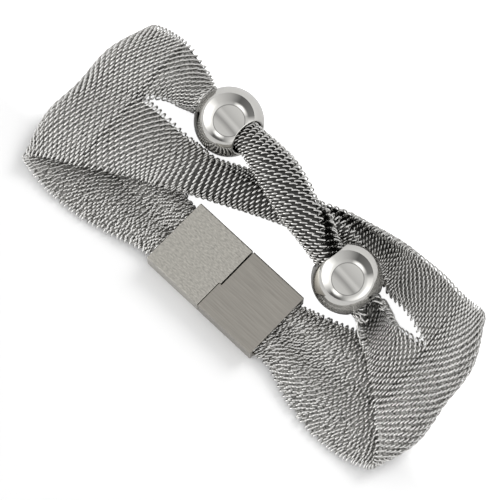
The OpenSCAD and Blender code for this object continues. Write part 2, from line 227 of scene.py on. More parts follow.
def top_rows():
    """Rows of the strand that passes above and through both balls."""
    def in_ball(side):
        return [ball_row(side, (k - 1) * BALL_ROW, 1, 1, t) for k, t in enumerate(BALL_TURNS[side])]

    def flare(side, place, turn):
        return [ball_row(side, place, FLARE_WIDTH, FLARE_WRAP, turn)]

    middle = (table_rows(TOP_IN, MESH_T / 2, FOLD_RISE) + flare("left", -FLARE_ROW, 0) + in_ball("left")
              + table_rows(TOP_CROSS, 0, OVER_Z) + in_ball("right") + flare("right", FLARE_ROW, 180)
              + table_rows(TOP_OUT, MESH_T / 2, FOLD_RISE))
    return all_rows(middle, False)


def refine(rows):
    """Uniform Catmull-Rom curve through the rows, with SUB sections for each of them."""
    last = len(rows) - 1
    i = np.arange(last)
    p0, p1, p2, p3 = (rows[np.clip(i + k, 0, last)][:, None] for k in (-1, 0, 1, 2))
    s = (np.arange(SUB) / SUB)[None, :, None]
    curve = 0.5 * (2 * p1 + (p2 - p0) * s + (2 * p0 - 5 * p1 + 4 * p2 - p3) * s**2
                   + (3 * p1 - p0 - 3 * p2 + p3) * s**3)
    return np.vstack([curve.reshape(-1, rows.shape[1]), rows[-1:]])


def unit(v):
    """Vectors brought to length one."""
    return v / np.linalg.norm(v, axis=-1, keepdims=True)


def bend_strip(rows, v0, v1):
    """Grid of a strip's middle surface. Across each row the strip is an arc of the wrap angle,
    a = sin(half t) and b = cos(half t) brought to the row's width and height, turned by the row's
    turn, with cosine pleats over the whole band's width and a parabolic bow along X."""
    near, far = rows[:, 0:3], rows[:, 3:6]
    bulge, wrap, turn, bow, pleat = (rows[:, k : k + 1] for k in range(6, 11))
    t = np.linspace(-1, 1, COLS)[None]
    half = np.radians(wrap) / 2
    side = np.where(half < np.pi / 2, np.sin(half), 1.0)
    floor = np.where(half < np.pi / 2, np.cos(half), 0.0)
    a = np.sin(half * t) / side
    b = (np.cos(half * t) - floor) / (1 - floor)
    r = np.radians(turn)
    middle = (near + far) / 2
    ahead = np.empty_like(middle)
    ahead[1:-1] = middle[2:] - middle[:-2]
    ahead[0], ahead[-1] = middle[1] - middle[0], middle[-1] - middle[-2]
    across = far - near
    level = unit(across)
    ahead -= level * (ahead * level).sum(1, keepdims=True)
    out = unit(np.cross(ahead, level))
    v = v0 + (v1 - v0) * (t + 1) / 2
    lift = bulge * (a * np.sin(r) + b * np.cos(r)) + pleat * np.cos(2 * np.pi * PLEATS * v)
    grid = (middle[:, None] + (a * np.cos(r) - b * np.sin(r))[..., None] * across[:, None] / 2
            + lift[..., None] * out[:, None])
    grid[..., 0] += bow * (1 - (2 * v - 1) ** 2)
    return grid


def band_grids():
    """Middle surfaces of the strand below and the strand on top, and the sections where the slit
    starts and ends. Where they are one band their meeting columns are brought together."""
    under, top = bend_strip(refine(under_rows()), 0, 0.5), bend_strip(refine(top_rows()), 0.5, 1)
    last = len(under) - 1
    start, end = (len(LEFT_ROWS) + 1) * SUB, last - (len(RIGHT_ROWS) + 1) * SUB
    i = np.arange(last + 1)
    joined = ((i <= start) | (i >= end))[:, None, None]
    w = np.linspace(0, 1, COLS)[None, :, None]
    gap = (top[:, :1] - under[:, -1:]) / 2
    return np.where(joined, under + gap * w, under), np.where(joined, top - gap * (1 - w), top), start, end


def grid_sample(grid, i, c):
    """Bilinear values of a grid at fractional sections i and columns c."""
    i0 = np.clip(i.astype(int), 0, grid.shape[0] - 2)
    c0 = np.clip(c.astype(int), 0, grid.shape[1] - 2)
    fi, fc = (i - i0)[:, None], (c - c0)[:, None]
    return ((grid[i0, c0] * (1 - fi) + grid[i0 + 1, c0] * fi) * (1 - fc)
            + (grid[i0, c0 + 1] * (1 - fi) + grid[i0 + 1, c0 + 1] * fi) * fc)


def step_sections(grid, start, end, shared, strand_step, fold_step):
    """Fractional section of every half pitch along a strand. Each stretch, up to the slit, along it
    and past it, takes a whole even number of steps of about the length given for it."""
    def lengths(g):
        return np.linalg.norm(np.diff(g, axis=0), axis=2).mean(1)

    own, both = lengths(grid), lengths(shared)
    sections = [np.zeros(1)]
    for lo, hi, d, step in ((0, start, both, fold_step), (start, end, own, strand_step),
                            (end, len(grid) - 1, both, fold_step)):
        run = np.r_[0, np.cumsum(d[lo:hi])]
        count = 2 * max(1, round(run[-1] / step / 2))
        sections.append(lo + np.interp(np.linspace(0, run[-1], count + 1)[1:], run, np.arange(hi - lo + 1)))
    return np.concatenate(sections)


def surface_frame(grid, i, c):
    """Point of a grid at fractional sections and columns, with its steps ahead and across."""
    last_i, last_c = grid.shape[0] - 1, grid.shape[1] - 1
    hi, lo = np.minimum(i + 0.5, last_i), np.maximum(i - 0.5, 0)
    right, left = np.minimum(c + 0.5, last_c), np.maximum(c - 0.5, 0)
    ahead = (grid_sample(grid, hi, c) - grid_sample(grid, lo, c)) / (hi - lo)[:, None]
    across = (grid_sample(grid, i, right) - grid_sample(grid, i, left)) / (right - left)[:, None]
    return grid_sample(grid, i, c), ahead, across


def lower_share(i, last):
    """How far sections lie in the lower layer: not at all above the turns of the folds, and wholly
    from one table row below them on."""
    below = np.maximum(LEFT_TURN_ROW * SUB - i, i - (last - RIGHT_TURN_ROW * SUB))
    return np.clip(below / SUB, 0, 1)


def straight_share(i, start, end):
    """How far the weave is drawn straight: a smooth step up at the start of the stretch STRAIGHT of
    the slit, and down again at its end, with share = ease squared times (3 - 2 ease)."""
    along = ((i - start) / (end - start) - STRAIGHT[0]) / (STRAIGHT[1] - STRAIGHT[0])
    ease = np.clip(np.minimum(along, 1 - along) / EASE, 0, 1)
    return ease**2 * (3 - 2 * ease)


def coil_paths(settings):
    """Middle lines of all the coils, strand by strand as strand_coils gives them, then the grids and
    the sections where the slit starts and ends."""
    under, top, start, end = band_grids()
    both = np.concatenate([under, top[:, 1:]], 1)
    half_pitches = settings.pitch_along / MM / 2, settings.pitch_folds / MM / 2
    chance = np.random.default_rng(SEED)
    found = []
    for number, grid in enumerate((under, top)):
        sections = step_sections(grid, start, end, both, *half_pitches)
        found.append(strand_coils(settings, grid, number, sections, start, end, chance))
    return found, (under, top), start, end


def strand_coils(settings, grid, number, sections, start, end, chance):
    """Middle lines of one strand's coils. Each runs lengthwise at its own share of the band's width,
    with point = surface - w cos(phase) across + h sin(phase) outwards, and half a turn for each step.
    A lean gives more of the moving on to the outer half of a turn, and an arch bows that half ahead:
    place ahead = step - lean cos(phase) + arch sin(phase), with the arch on the outer half alone.

    Each fold and the lower layer have their own lean. Along the slit it turns to the strands' own,
    which holds the outer half back, the arch fades, and the weave is sheared by a share of a step for
    each coil, all with a smooth start and end. The lower layer has no arch and lies looser. Neighbours
    are half a turn apart and reach into each other. Squeezed coils grow narrower and higher, by the
    root of their spacing. Loops at the band's edges stand out farther, and so do those beside the
    slit.

    Gives points and spokes as arrays of coil by sample, and the fractional section of each sample. A
    spoke is the unit direction from the coil's axis to its wire."""
    per_strand = settings.coils_across // 2
    width, height = settings.coil_width / 2 / MM, settings.coil_height / 2 / MM
    inset = width + settings.wire_radius / MM
    spacing = (BAND_W - 2 * inset) / (2 * per_strand - 1)
    steps = len(sections) - 1
    step = np.linspace(0, steps, steps * HALF_TURN + 1)
    i = np.interp(step, np.arange(steps + 1), sections)
    coil = np.arange(per_strand)
    shape = (per_strand, len(i))
    knots = np.arange(steps // 2 + 2)

    def wavering(spread):
        values = chance.normal(0, spread, (per_strand, len(knots)))
        return np.stack([np.interp(step / 2, knots, row) for row in values])

    lower, straight = lower_share(i, len(grid) - 1), straight_share(i, start, end)
    looser = 1 + settings.disorder * lower
    phase = np.pi * (step[None] + (coil + number * per_strand)[:, None]) + wavering(UNEVEN_TURN) * looser
    swing, rise = -np.cos(phase), np.sin(phase)
    place = coil[:, None] - (per_strand - 1) / 2 + swing * width / spacing
    fold_lean = np.where(i < len(grid) / 2, settings.lean_left, settings.lean_right)
    lean = ((fold_lean * (1 - lower) + settings.lean_lower * lower) * (1 - straight)
            - settings.lean_strands * straight)
    moved = (step[None] + lean * swing + settings.shear * straight * place
             + settings.arch * (1 - straight) * (1 - lower) * np.clip(rise, 0, 1)
             + wavering(UNEVEN_AHEAD) * looser)
    moved_i = np.interp(np.clip(moved, 0, steps).ravel(), np.arange(steps + 1), sections)
    v = (inset + (coil + number * per_strand) * spacing) / BAND_W
    c = np.repeat((v * 2 - number) * (COLS - 1), len(i))
    base, ahead, across = surface_frame(grid, moved_i, c)
    ahead = unit(ahead)
    out = unit(np.cross(ahead, across))
    side = np.cross(out, ahead)
    room = np.linalg.norm(across, axis=1) * spacing / BAND_W * 2 * (COLS - 1)
    narrow = np.sqrt(np.clip(room / spacing, LEAST_ROOM, MOST_ROOM)).reshape(shape)
    loose = np.ones(shape)
    reach = settings.loop_reach / MM / width
    slit = (i > start) & (i < end)
    outer, inner, outwards = (0, -1, -1) if number == 0 else (-1, 0, 1)
    loose[outer] += reach * np.clip(swing[outer] * outwards, 0, 1)
    loose[inner] += slit * reach * np.clip(-swing[inner] * outwards, 0, 1)
    w = width * narrow * loose * (1 + wavering(UNEVEN_WIDTH))
    h = height / narrow * (1 + wavering(UNEVEN_HEIGHT))
    side, out, base = (x.reshape(*shape, 3) for x in (side, out, base))
    points = base + side * (w * swing)[..., None] + out * (h * rise)[..., None]
    spokes = unit(side * (swing / w)[..., None] + out * (rise / h)[..., None])
    return points, spokes, i


def tube_mesh(points, spokes, wire):
    """Vertices and quads of closed four-sided tubes, one for each row of points: each section is
    point + wire times (spoke cos w + binormal sin w), with the binormal across spoke and tangent."""
    n, m, _ = points.shape
    tangent = unit(np.gradient(points, axis=1))
    spokes = unit(spokes - tangent * (spokes * tangent).sum(-1, keepdims=True))
    binormal = np.cross(tangent, spokes)
    w = (np.arange(4) + 0.5)[None, None, :, None] * np.pi / 2
    rings = points[:, :, None] + wire * (spokes[:, :, None] * np.cos(w) + binormal[:, :, None] * np.sin(w))
    index = np.arange(n * m * 4).reshape(n, m, 4)
    near, far = index[:, :-1], index[:, 1:]
    quads = np.stack([near, np.roll(near, -1, 2), np.roll(far, -1, 2), far], -1).reshape(-1, 4)
    caps = np.concatenate([index[:, 0, ::-1], index[:, -1]])
    return rings.reshape(-1, 3), np.concatenate([quads, caps])


def slab(grid, i, c, thick):
    """Vertices and quads of a closed thin slab along a grid, at sections i and columns c: point plus
    or minus half the thickness times the surface's normal. Last comes which quads are smooth: the two
    skins and not the rim, which would bend the shading where two pieces meet."""
    base, ahead, across = surface_frame(grid, *(m.ravel() for m in np.meshgrid(i, c, indexing="ij")))
    out = unit(np.cross(ahead, across)) * thick / 2
    upper, lower = np.arange(2 * len(base)).reshape(2, len(i), len(c))

    def skin(a):
        return np.stack([a[:-1, :-1], a[1:, :-1], a[1:, 1:], a[:-1, 1:]], -1).reshape(-1, 4)

    def rim(a, b):
        return np.stack([a[:-1], a[1:], b[1:], b[:-1]], -1)

    skins = [skin(upper), skin(lower)[:, ::-1]]
    rims = [rim(upper[0], lower[0]), rim(upper[-1, ::-1], lower[-1, ::-1]),
            rim(upper[::-1, 0], lower[::-1, 0]), rim(upper[:, -1], lower[:, -1])]
    smooth = np.repeat([True, False], (sum(map(len, skins)), sum(map(len, rims))))
    return np.concatenate([base + out, base - out]), np.concatenate(skins + rims), smooth


def wires_between(coils, low, high, wire):
    """Tubes of a strand's coils between two sections: vertices, quads, which quads are smooth, and
    how far each vertex lies in the gathered band, which only the painted shade of the dark layer needs."""
    points, spokes, i = coils
    lo, hi = (int(np.abs(i - bound).argmin()) for bound in (low, high))
    rings, quads = tube_mesh(points[:, lo : hi + 1], spokes[:, lo : hi + 1], wire)
    return rings, quads, np.ones(len(quads), bool), np.zeros(len(rings))


def painted_shade_between(grid, low, high, columns, slit, thick):
    """Dark layer of painted shade of a strand between two sections and two columns, with the values of
    wires_between. How far a vertex lies in the gathered band, where its painted shade turns wholly
    dark = table rows to the slit's nearer end / GATHER_ROWS."""
    i = np.linspace(low, high, (high - low) // DEPTH_STEP + 1)
    points, quads, smooth = slab(grid, i, np.linspace(*columns, DEPTH_COLS), thick)
    share = np.clip(np.minimum(i - slit[0], slit[1] - i) / (GATHER_ROWS * SUB), 0, 1)
    return points, quads, smooth, np.tile(np.repeat(share, DEPTH_COLS), 2)


def joined(parts):
    """Vertices, quads and their values of several parts, one part after another."""
    points, quads, smooth, gathered = zip(*parts)
    first = np.cumsum([0, *map(len, points)])
    quads = [part + count for part, count in zip(quads, first)]
    return [np.concatenate(arrays) for arrays in (points, quads, smooth, gathered)]


def new_piece(name, points, quads, smooth=True):
    """Mesh object at the origin from points in millimetres and quads, riding on the body."""
    mesh = bpy.data.meshes.new(name)
    mesh.vertices.add(len(points))
    mesh.vertices.foreach_set("co", (points * MM).astype(np.float32).ravel())
    mesh.loops.add(quads.size)
    mesh.loops.foreach_set("vertex_index", quads.astype(np.int32).ravel())
    mesh.polygons.add(len(quads))
    mesh.polygons.foreach_set("loop_start", np.arange(0, quads.size, 4, dtype=np.int32))
    mesh.update(calc_edges=True)
    mesh.validate()
    mesh.polygons.foreach_set("use_smooth", np.full(len(mesh.polygons), smooth))
    piece = bpy.data.objects.new(name, mesh)
    bpy.context.scene.collection.objects.link(piece)
    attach(piece, BODY)
    return piece


def new_nodes(tree, *kinds):
    """New shader nodes of a tree, one for each kind."""
    return [tree.nodes.new("ShaderNode" + kind) for kind in kinds]


def put(node, values):
    """Set the values of a node's inputs, by their names."""
    for name, value in values.items():
        node.inputs[name].default_value = value


def link(tree, *pairs):
    """Links of a node tree, as pairs of output and input."""
    for a, b in pairs:
        tree.links.new(a, b)


def ranged(tree, value, bounds, ends=(0, 1), smooth=True):
    """Output that goes from one end to the other while a value goes from the lower bound to the upper
    one, by a smooth step or in proportion."""
    node = tree.nodes.new("ShaderNodeMapRange")
    node.interpolation_type = "SMOOTHSTEP" if smooth else "LINEAR"
    put(node, {"From Min": bounds[0], "From Max": bounds[1], "To Min": ends[0], "To Max": ends[1]})
    link(tree, (value, node.inputs["Value"]))
    return node.outputs["Result"]


# Sockets of a Mix node that mixes colours: its two inputs and its output
MIX_FIRST, MIX_SECOND, MIX_OUT = 6, 7, 2


def mixed(tree, first, second, share):
    """Colour = first + (second - first) times the share. Each is an output, or a tuple of its values."""
    mix = tree.nodes.new("ShaderNodeMix")
    mix.data_type = "RGBA"
    link(tree, (share, mix.inputs["Factor"]))
    for place, tone in ((MIX_FIRST, first), (MIX_SECOND, second)):
        if isinstance(tone, tuple):
            mix.inputs[place].default_value = tone
        else:
            link(tree, (tone, mix.inputs[place]))
    return mix.outputs[MIX_OUT]


# Sockets of the grain group, and the kind of value of each
GRAIN_SOCKETS = {
    "INPUT": {"Stretch": "Vector", "Dark": "Color", "Light": "Color", "Roughness": "Float",
              "Spread": "Float", "Detail": "Float"},
    "OUTPUT": {"Color": "Color", "Roughness": "Float", "Height": "Float"},
}


def grain_group():
    """Directional grain: noise on stretched coordinates, given as a colour, a roughness and a height.
    Colour runs between two tones, and roughness is a middle value plus a spread times (noise - 0.5)."""
    group = bpy.data.node_groups.get("metal_grain")
    if group:
        return group
    group = bpy.data.node_groups.new("metal_grain", "ShaderNodeTree")
    for way, sockets in GRAIN_SOCKETS.items():
        for name, kind in sockets.items():
            group.interface.new_socket(name=name, in_out=way, socket_type="NodeSocket" + kind)
    a, z = group.nodes.new("NodeGroupInput"), group.nodes.new("NodeGroupOutput")
    coords, stretch, noise = new_nodes(group, "TexCoord", "Mapping", "TexNoise")
    put(noise, {"Scale": 1.0, "Roughness": 0.6})
    centred, times, plus = new_nodes(group, "Math", "Math", "Math")
    centred.operation, times.operation, plus.operation = "SUBTRACT", "MULTIPLY", "ADD"
    centred.inputs[1].default_value = 0.5
    tone = mixed(group, a.outputs["Dark"], a.outputs["Light"], noise.outputs["Fac"])
    link(group,
         (coords.outputs["Object"], stretch.inputs["Vector"]),
         (a.outputs["Stretch"], stretch.inputs["Scale"]),
         (stretch.outputs["Vector"], noise.inputs["Vector"]),
         (a.outputs["Detail"], noise.inputs["Detail"]), (tone, z.inputs["Color"]),
         (noise.outputs["Fac"], centred.inputs[0]), (centred.outputs[0], times.inputs[0]),
         (a.outputs["Spread"], times.inputs[1]), (times.outputs[0], plus.inputs[0]),
         (a.outputs["Roughness"], plus.inputs[1]), (plus.outputs[0], z.inputs["Roughness"]),
         (noise.outputs["Fac"], z.inputs["Height"]))
    return group


def steel(name, tone, dark_share, roughness, spread, stretch, bump, detail=4.0):
    """Metal with directional grain. tone is its light colour, and dark_share how dark the other is."""
    material = bpy.data.materials.new(name)
    material.use_nodes = True
    tree = material.node_tree
    shader = tree.nodes["Principled BSDF"]
    put(shader, {"Metallic": 1.0})
    grain = tree.nodes.new("ShaderNodeGroup")
    grain.node_tree = grain_group()
    put(grain, {"Stretch": stretch, "Light": (*tone, 1), "Dark": (*(c * dark_share for c in tone), 1),
                "Roughness": roughness, "Spread": spread, "Detail": detail})
    link(tree, (grain.outputs["Color"], shader.inputs["Base Color"]),
         (grain.outputs["Roughness"], shader.inputs["Roughness"]))
    if bump:
        relief = tree.nodes.new("ShaderNodeBump")
        put(relief, {"Strength": 0.5, "Distance": bump * MM})
        link(tree, (grain.outputs["Height"], relief.inputs["Height"]),
             (relief.outputs["Normal"], shader.inputs["Normal"]))
    return material


# The dark inner layer of painted shade: its dark tone as a share of its tone, and the part of the
# grain over which it turns from painted shade to painted specks of lit wire
DEPTH_DARK, SPECKS = 0.1, (0.38, 0.62)


def painted_shade_material(tone):
    """Painted shade for the inside of the mesh: a dark sheet with painted specks of lit wire between
    dark gaps, colour = dark + (tone - dark) times the stretched grain. The painted shade turns wholly
    dark where the band is gathered."""
    material = steel("mesh_painted_shade", tone, dark_share=DEPTH_DARK, roughness=0.4, spread=0.2,
                     stretch=(2800, 2800, 2800), bump=0.15)
    dark = (*(x * DEPTH_DARK for x in tone), 1)
    tree = material.node_tree
    # painted shade: where the band is gathered into strands the layer turns wholly dark
    gathered = tree.nodes.new("ShaderNodeAttribute")
    gathered.attribute_name = "gathered"
    specks = ranged(tree, tree.nodes["Group"].outputs["Height"], SPECKS, smooth=False)
    light = mixed(tree, dark, (*tone, 1), specks)
    shaded = mixed(tree, light, dark, gathered.outputs["Fac"])
    link(tree, (shaded, tree.nodes["Principled BSDF"].inputs["Base Color"]))
    return material


def length(name, description, default, low, high):
    """A length property, given in millimetres."""
    return bpy.props.FloatProperty(name=name, description=description, default=default * MM,
                                   min=low * MM, max=high * MM, unit="LENGTH", subtype="DISTANCE",
                                   precision=5)


def number(name, description, default, low, high):
    """A plain number property."""
    return bpy.props.FloatProperty(name=name, description=description, default=default, min=low, max=high)


def colour(name, description, default):
    """A colour property."""
    return bpy.props.FloatVectorProperty(name=name, description=description, default=default,
                                         size=3, min=0, max=1, subtype="COLOR")


class BRACELET_PG_mesh(bpy.types.PropertyGroup):
    coil_width: length("Coil width", "Width of a coil between the middles of its wire", 1.32, 0.8, 2.5)
    coil_height: length("Coil height", "Height of a coil between the middles of its wire", 0.9, 0.5, 1.5)
    wire_radius: length("Wire radius", "Half the thickness of the wire", 0.18, 0.05, 0.3)
    pitch_along: length("Strand pitch", "Distance between turns of one coil in the strands", 1.20, 0.8, 2.0)
    pitch_folds: length("Fold pitch", "Distance between turns of one coil elsewhere", 0.98, 0.7, 2.0)
    # The dark inner layer is painted shade: a dark sheet with painted specks of lit wire, standing for the
    # shaded wires deep inside
    depth_inset: length("Depth inset", "How far the dark inner layer keeps from the edges", 0.75, 0.3, 3)
    depth_thick: length("Depth thickness", "Thickness of the dark inner layer", 0.10, 0.02, 0.5)
    depth_shade_tone: colour("Depth colour", "Colour of the shaded wires deep inside the mesh", (0.62, 0.61, 0.585))
    lean_left: number("Left lean", "How far the outer half of a turn moves on in the left fold, in steps",
                      0.25, -1, 1)
    lean_right: number("Right lean", "How far it moves on in the right fold, in steps", 0.85, -1, 1)
    lean_lower: number("Lower lean", "How far it moves on in the lower layer, in steps", 0.15, -1, 1)
    lean_strands: number("Strand lean", "How far it holds back in the strands, in steps", 0.55, -1, 1)
    shear: number("Shear", "Shift of each coil against the next in the strands, in steps", 0.8, -1.5, 1.5)
    arch: number("Arch", "How far the outer half of a turn bows ahead in the folds, in steps", 0.4, 0, 2)
    disorder: number("Disorder", "How much looser the weave lies in the lower layer", 3.6, 0, 8)
    loop_reach: length("Edge loops", "How much farther the loops at the edges stand out", 0.2, 0, 1)
    coils_across: bpy.props.IntProperty(name="Coils across", default=36, min=20, max=60,
                                        description="Lengthwise coils across the band")
    tone: colour("Wire colour", "Colour of the steel wire", (1.0, 0.99, 0.965))
    roughness: number("Wire roughness", "How matt the wire is", 0.13, 0, 1)


class BRACELET_PG_balls(bpy.types.PropertyGroup):
    tone: colour("Ball colour", "Colour of the polished steel", (0.595, 0.586, 0.562))
    roughness: number("Ball roughness", "How matt the balls are", 0.035, 0, 1)


class BRACELET_PG_clasp(bpy.types.PropertyGroup):
    edge: length("Soft edge", "Width of the rounding along the clasp's edges", 0.12, 0.02, 0.3)
    left_tone: colour("Left half", "Colour of the clasp's left half", (0.85, 0.82, 0.745))
    right_tone: colour("Right half", "Colour of the clasp's right half", (0.495, 0.468, 0.422))


class BRACELET_PG_stage(bpy.types.PropertyGroup):
    floor: colour("Floor colour", "Colour of the surface that the bracelet lies on", (0.74, 0.74, 0.74))
    key: number("Main light", "Strength of the light from behind, in watts", 3.2, 0, 50)
    # painted light: glow and back_glow are a glow seen by the camera alone, brighter towards the floor's
    # back, and no lamp
    glow: number("Floor glow", "How far the floor is lit from below, as on a light table", 0.08, 0, 2)
    back_glow: number("Back glow", "How far it is lit from below towards its back", 0.85, 0, 2)
    tent: number("Tent light", "Strength of the white tent that the metal mirrors", 3.05, 0, 10)


class BRACELET_OT_mesh(bpy.types.Operator):
    """Lay interlinked wire coils over the band, in six pieces"""

    bl_idname = "bracelet.mesh"
    bl_label = "Coil mesh"

    def execute(self, context):
        settings = context.scene.bracelet_mesh
        coils, grids, start, end = coil_paths(settings)
        last = len(grids[0]) - 1
        left_turn, right_turn = LEFT_TURN_ROW * SUB, last - RIGHT_TURN_ROW * SUB
        margin = settings.depth_inset / MM / BAND_W * 2 * (COLS - 1)
        wire = steel("mesh_wire", tuple(settings.tone), dark_share=0.45, roughness=settings.roughness,
                     spread=0.12, stretch=(1500, 1500, 1500), bump=0)
        # painted shade: each piece gets a dark layer under its wires in place of the shade deep inside the
        # mesh
        depth = painted_shade_material(tuple(settings.depth_shade_tone))
        for name, strands, low, high in (
            ("mesh_left_lower", (0, 1), 0, left_turn),
            ("mesh_left_fold", (0, 1), left_turn, start),
            ("mesh_under_strand", (0,), start, end),
            ("mesh_top_strand", (1,), start, end),
            ("mesh_right_fold", (0, 1), end, right_turn),
            ("mesh_right_lower", (0, 1), right_turn, last),
        ):
            tubes = [wires_between(coils[n], low, high, settings.wire_radius / MM) for n in strands]
            layers = []
            for number in strands:
                first = margin if number == 0 or len(strands) == 1 else 0
                final = COLS - 1 - (margin if number == 1 or len(strands) == 1 else 0)
                layers.append(painted_shade_between(grids[number], low, high, (first, final), (start, end),
                                            settings.depth_thick / MM))
            points, quads, smooth, gathered = joined(tubes + layers)
            piece = new_piece(name, points, quads, smooth)
            piece.data.materials.append(wire)
            piece.data.materials.append(depth)
            wires = sum(len(tube[1]) for tube in tubes)
            in_depth = (np.arange(len(quads)) >= wires).astype(np.int32)
            piece.data.polygons.foreach_set("material_index", in_depth)
            values = piece.data.attributes.new("gathered", "FLOAT", "POINT").data
            values.foreach_set("value", gathered.astype(np.float32))
            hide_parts("mesh_band")
        return {"FINISHED"}


class BRACELET_OT_balls(bpy.types.Operator):
    """Make the two bored balls, smooth enough for a mirror polish"""

    bl_idname = "bracelet.balls"
    bl_label = "Polished balls"

    def execute(self, context):
        settings = context.scene.bracelet_balls
        material = steel("mirror_polish", tuple(settings.tone), dark_share=0.97,
                         roughness=settings.roughness, spread=0.02, stretch=(300, 300, 300), bump=0)
        for side in BALLS:
            points, quads = turned_ball(side)
            piece = new_piece("polished_ball_" + side, points, quads)
            piece.data.materials.append(material)
            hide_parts("ball_" + side)
        return {"FINISHED"}


# Steps of a ball's profile along the quarter-round at each end of the bore, and along the bore
LIP_STEPS, BORE_STEPS = 5, 7


def turned_ball(side, around=128, along=64):
    """Bored ball: a closed profile turned round the bore. The profile is the sphere between its two
    rims, a quarter-round from each rim into the bore, and the straight bore."""
    centre, axis, across = ball_place(side)
    bore, ball, lip = BORE_D / 2, BALL_D / 2, BORE_CHAMFER
    rim = np.arcsin((bore + lip) / ball)
    angle = np.linspace(rim, np.pi - rim, along)
    sphere = np.stack([-ball * np.cos(angle), ball * np.sin(angle)], 1)
    end_x = ball * np.cos(rim)
    turn = np.linspace(0, np.pi / 2, LIP_STEPS + 1)[1:]
    lip_out = np.stack([end_x - lip * (1 - np.cos(turn)), bore + lip * (1 - np.sin(turn))], 1)
    lip_in = lip_out[::-1] * (-1, 1)
    within = np.linspace(end_x - lip, lip - end_x, BORE_STEPS + 1)[1:-1]
    inside = np.stack([within, np.full(len(within), bore)], 1)
    profile = np.vstack([sphere, lip_out, inside, lip_in])
    up = np.cross(axis, across)
    w = np.linspace(0, 2 * np.pi, around, endpoint=False)[:, None, None]
    points = (centre + profile[None, :, :1] * axis
              + profile[None, :, 1:] * (across * np.cos(w) + up * np.sin(w)))
    n = len(profile)
    i, j = np.meshgrid(np.arange(around), np.arange(n), indexing="ij")
    i1, j1 = (i + 1) % around, (j + 1) % n
    quads = np.stack([i * n + j, i1 * n + j, i1 * n + j1, i * n + j1], -1).reshape(-1, 4)
    return points.reshape(-1, 3), quads


# Grain of each clasp half: its dark tone as a share of its light one, and its stretch along each axis
CLASP_GRAIN = {"left": (0.12, (1500, 3800, 3800)), "right": (0.45, (150, 3800, 3800))}
# Softening of the clasp: distance in metres within which vertices merge, angle in radians up to which
# faces count as one, angle in degrees from which an edge is rounded, and the segments of its rounding
MERGE_REACH, FLAT_ANGLE, SHARP_ANGLE, EDGE_SEGMENTS = 1e-6, 0.01, 30, 3


class BRACELET_OT_clasp(bpy.types.Operator):
    """Copy the two clasp halves, soften their edges and brush them lengthwise"""

    bl_idname = "bracelet.clasp"
    bl_label = "Brushed clasp"

    def execute(self, context):
        settings = context.scene.bracelet_clasp
        tones = {"left": settings.left_tone, "right": settings.right_tone}
        for side, (dark_share, stretch) in CLASP_GRAIN.items():
            node = "clasp_" + side
            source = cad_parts[node]
            piece = bpy.data.objects.new("brushed_clasp_" + side, source.data.copy())
            context.scene.collection.objects.link(piece)
            soften(piece, settings.edge)
            piece.data.materials.clear()
            piece.data.materials.append(
                steel("clasp_brushing_" + side, tuple(tones[side]), dark_share, roughness=0.34, spread=0.16,
                      stretch=stretch, bump=0.015, detail=6.0))
            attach(piece, BODY)
            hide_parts(node)
        return {"FINISHED"}


def soften(piece, width):
    """Merge a copied node's triangles into flat faces and round its sharp edges."""
    work = bmesh.new()
    work.from_mesh(piece.data)
    bmesh.ops.remove_doubles(work, verts=work.verts, dist=MERGE_REACH)
    bmesh.ops.dissolve_limit(work, angle_limit=FLAT_ANGLE, verts=work.verts, edges=work.edges)
    work.to_mesh(piece.data)
    work.free()
    piece.data.polygons.foreach_set("use_smooth", np.full(len(piece.data.polygons), False))
    bevel = piece.modifiers.new("soft_edge", "BEVEL")
    bevel.width = width
    bevel.segments = EDGE_SEGMENTS
    bevel.limit_method = "ANGLE"
    bevel.angle_limit = np.radians(SHARP_ANGLE)


class BRACELET_OT_stage(bpy.types.Operator):
    """Set the pale floor, the soft lights and the camera"""

    bl_idname = "bracelet.stage"
    bl_label = "Stage"

    def execute(self, context):
        settings = context.scene.bracelet_stage
        scene = context.scene
        place_camera(scene)
        place_floor(scene, settings)
        place_lamps(scene, settings.key)
        scene.view_settings.view_transform = "Standard"
        set_tent(scene, settings.tent)
        return {"FINISHED"}


# Half the floor's side, how far it lies below the pieces and the stretch along Y over which its
# painted glow rises, in metres
FLOOR_HALF, FLOOR_DROP, GLOW_STEP = 1.5, 2e-5, (-0.004, 0.008)
# Place and side of each lamp, in metres, and its strength as a share of the main light
LAMPS = {"back_light": ((0.12, 0.62, 0.58), 0.40, 1.0), "side_light": ((0.45, 0.10, 0.80), 0.60, 0.3)}


def place_floor(scene, settings):
    """Square floor just below the pieces, so that no face of it meets one of theirs."""
    mesh = bpy.data.meshes.new("floor")
    r, z = FLOOR_HALF, -FLOOR_DROP
    mesh.from_pydata([(-r, -r, z), (r, -r, z), (r, r, z), (-r, r, z)], [], [(0, 1, 2, 3)])
    floor = bpy.data.objects.new("floor", mesh)
    scene.collection.objects.link(floor)
    mesh.materials.append(floor_material(settings))


def floor_material(settings):
    """Matt surface with a painted glow for camera rays alone, which is no lamp and lights nothing else:
    it lifts the shade on the floor more towards its back than at its front. glow = front value +
    (back value - front value) times a smooth step along Y."""
    material = bpy.data.materials.new("pale_floor")
    material.use_nodes = True
    tree = material.node_tree
    shader = tree.nodes["Principled BSDF"]
    put(shader, {"Base Color": (*settings.floor, 1), "Roughness": 0.9, "Specular IOR Level": 0.1,
                 "Emission Color": (1, 1, 1, 1)})
    path, coords, axes, glow = new_nodes(tree, "LightPath", "TexCoord", "SeparateXYZ", "Math")
    glow.operation = "MULTIPLY"
    fade = ranged(tree, axes.outputs["Y"], GLOW_STEP, (settings.glow, settings.back_glow))
    link(tree, (coords.outputs["Object"], axes.inputs["Vector"]),
         (path.outputs["Is Camera Ray"], glow.inputs[0]), (fade, glow.inputs[1]),
         (glow.outputs[0], shader.inputs["Emission Strength"]))
    return material


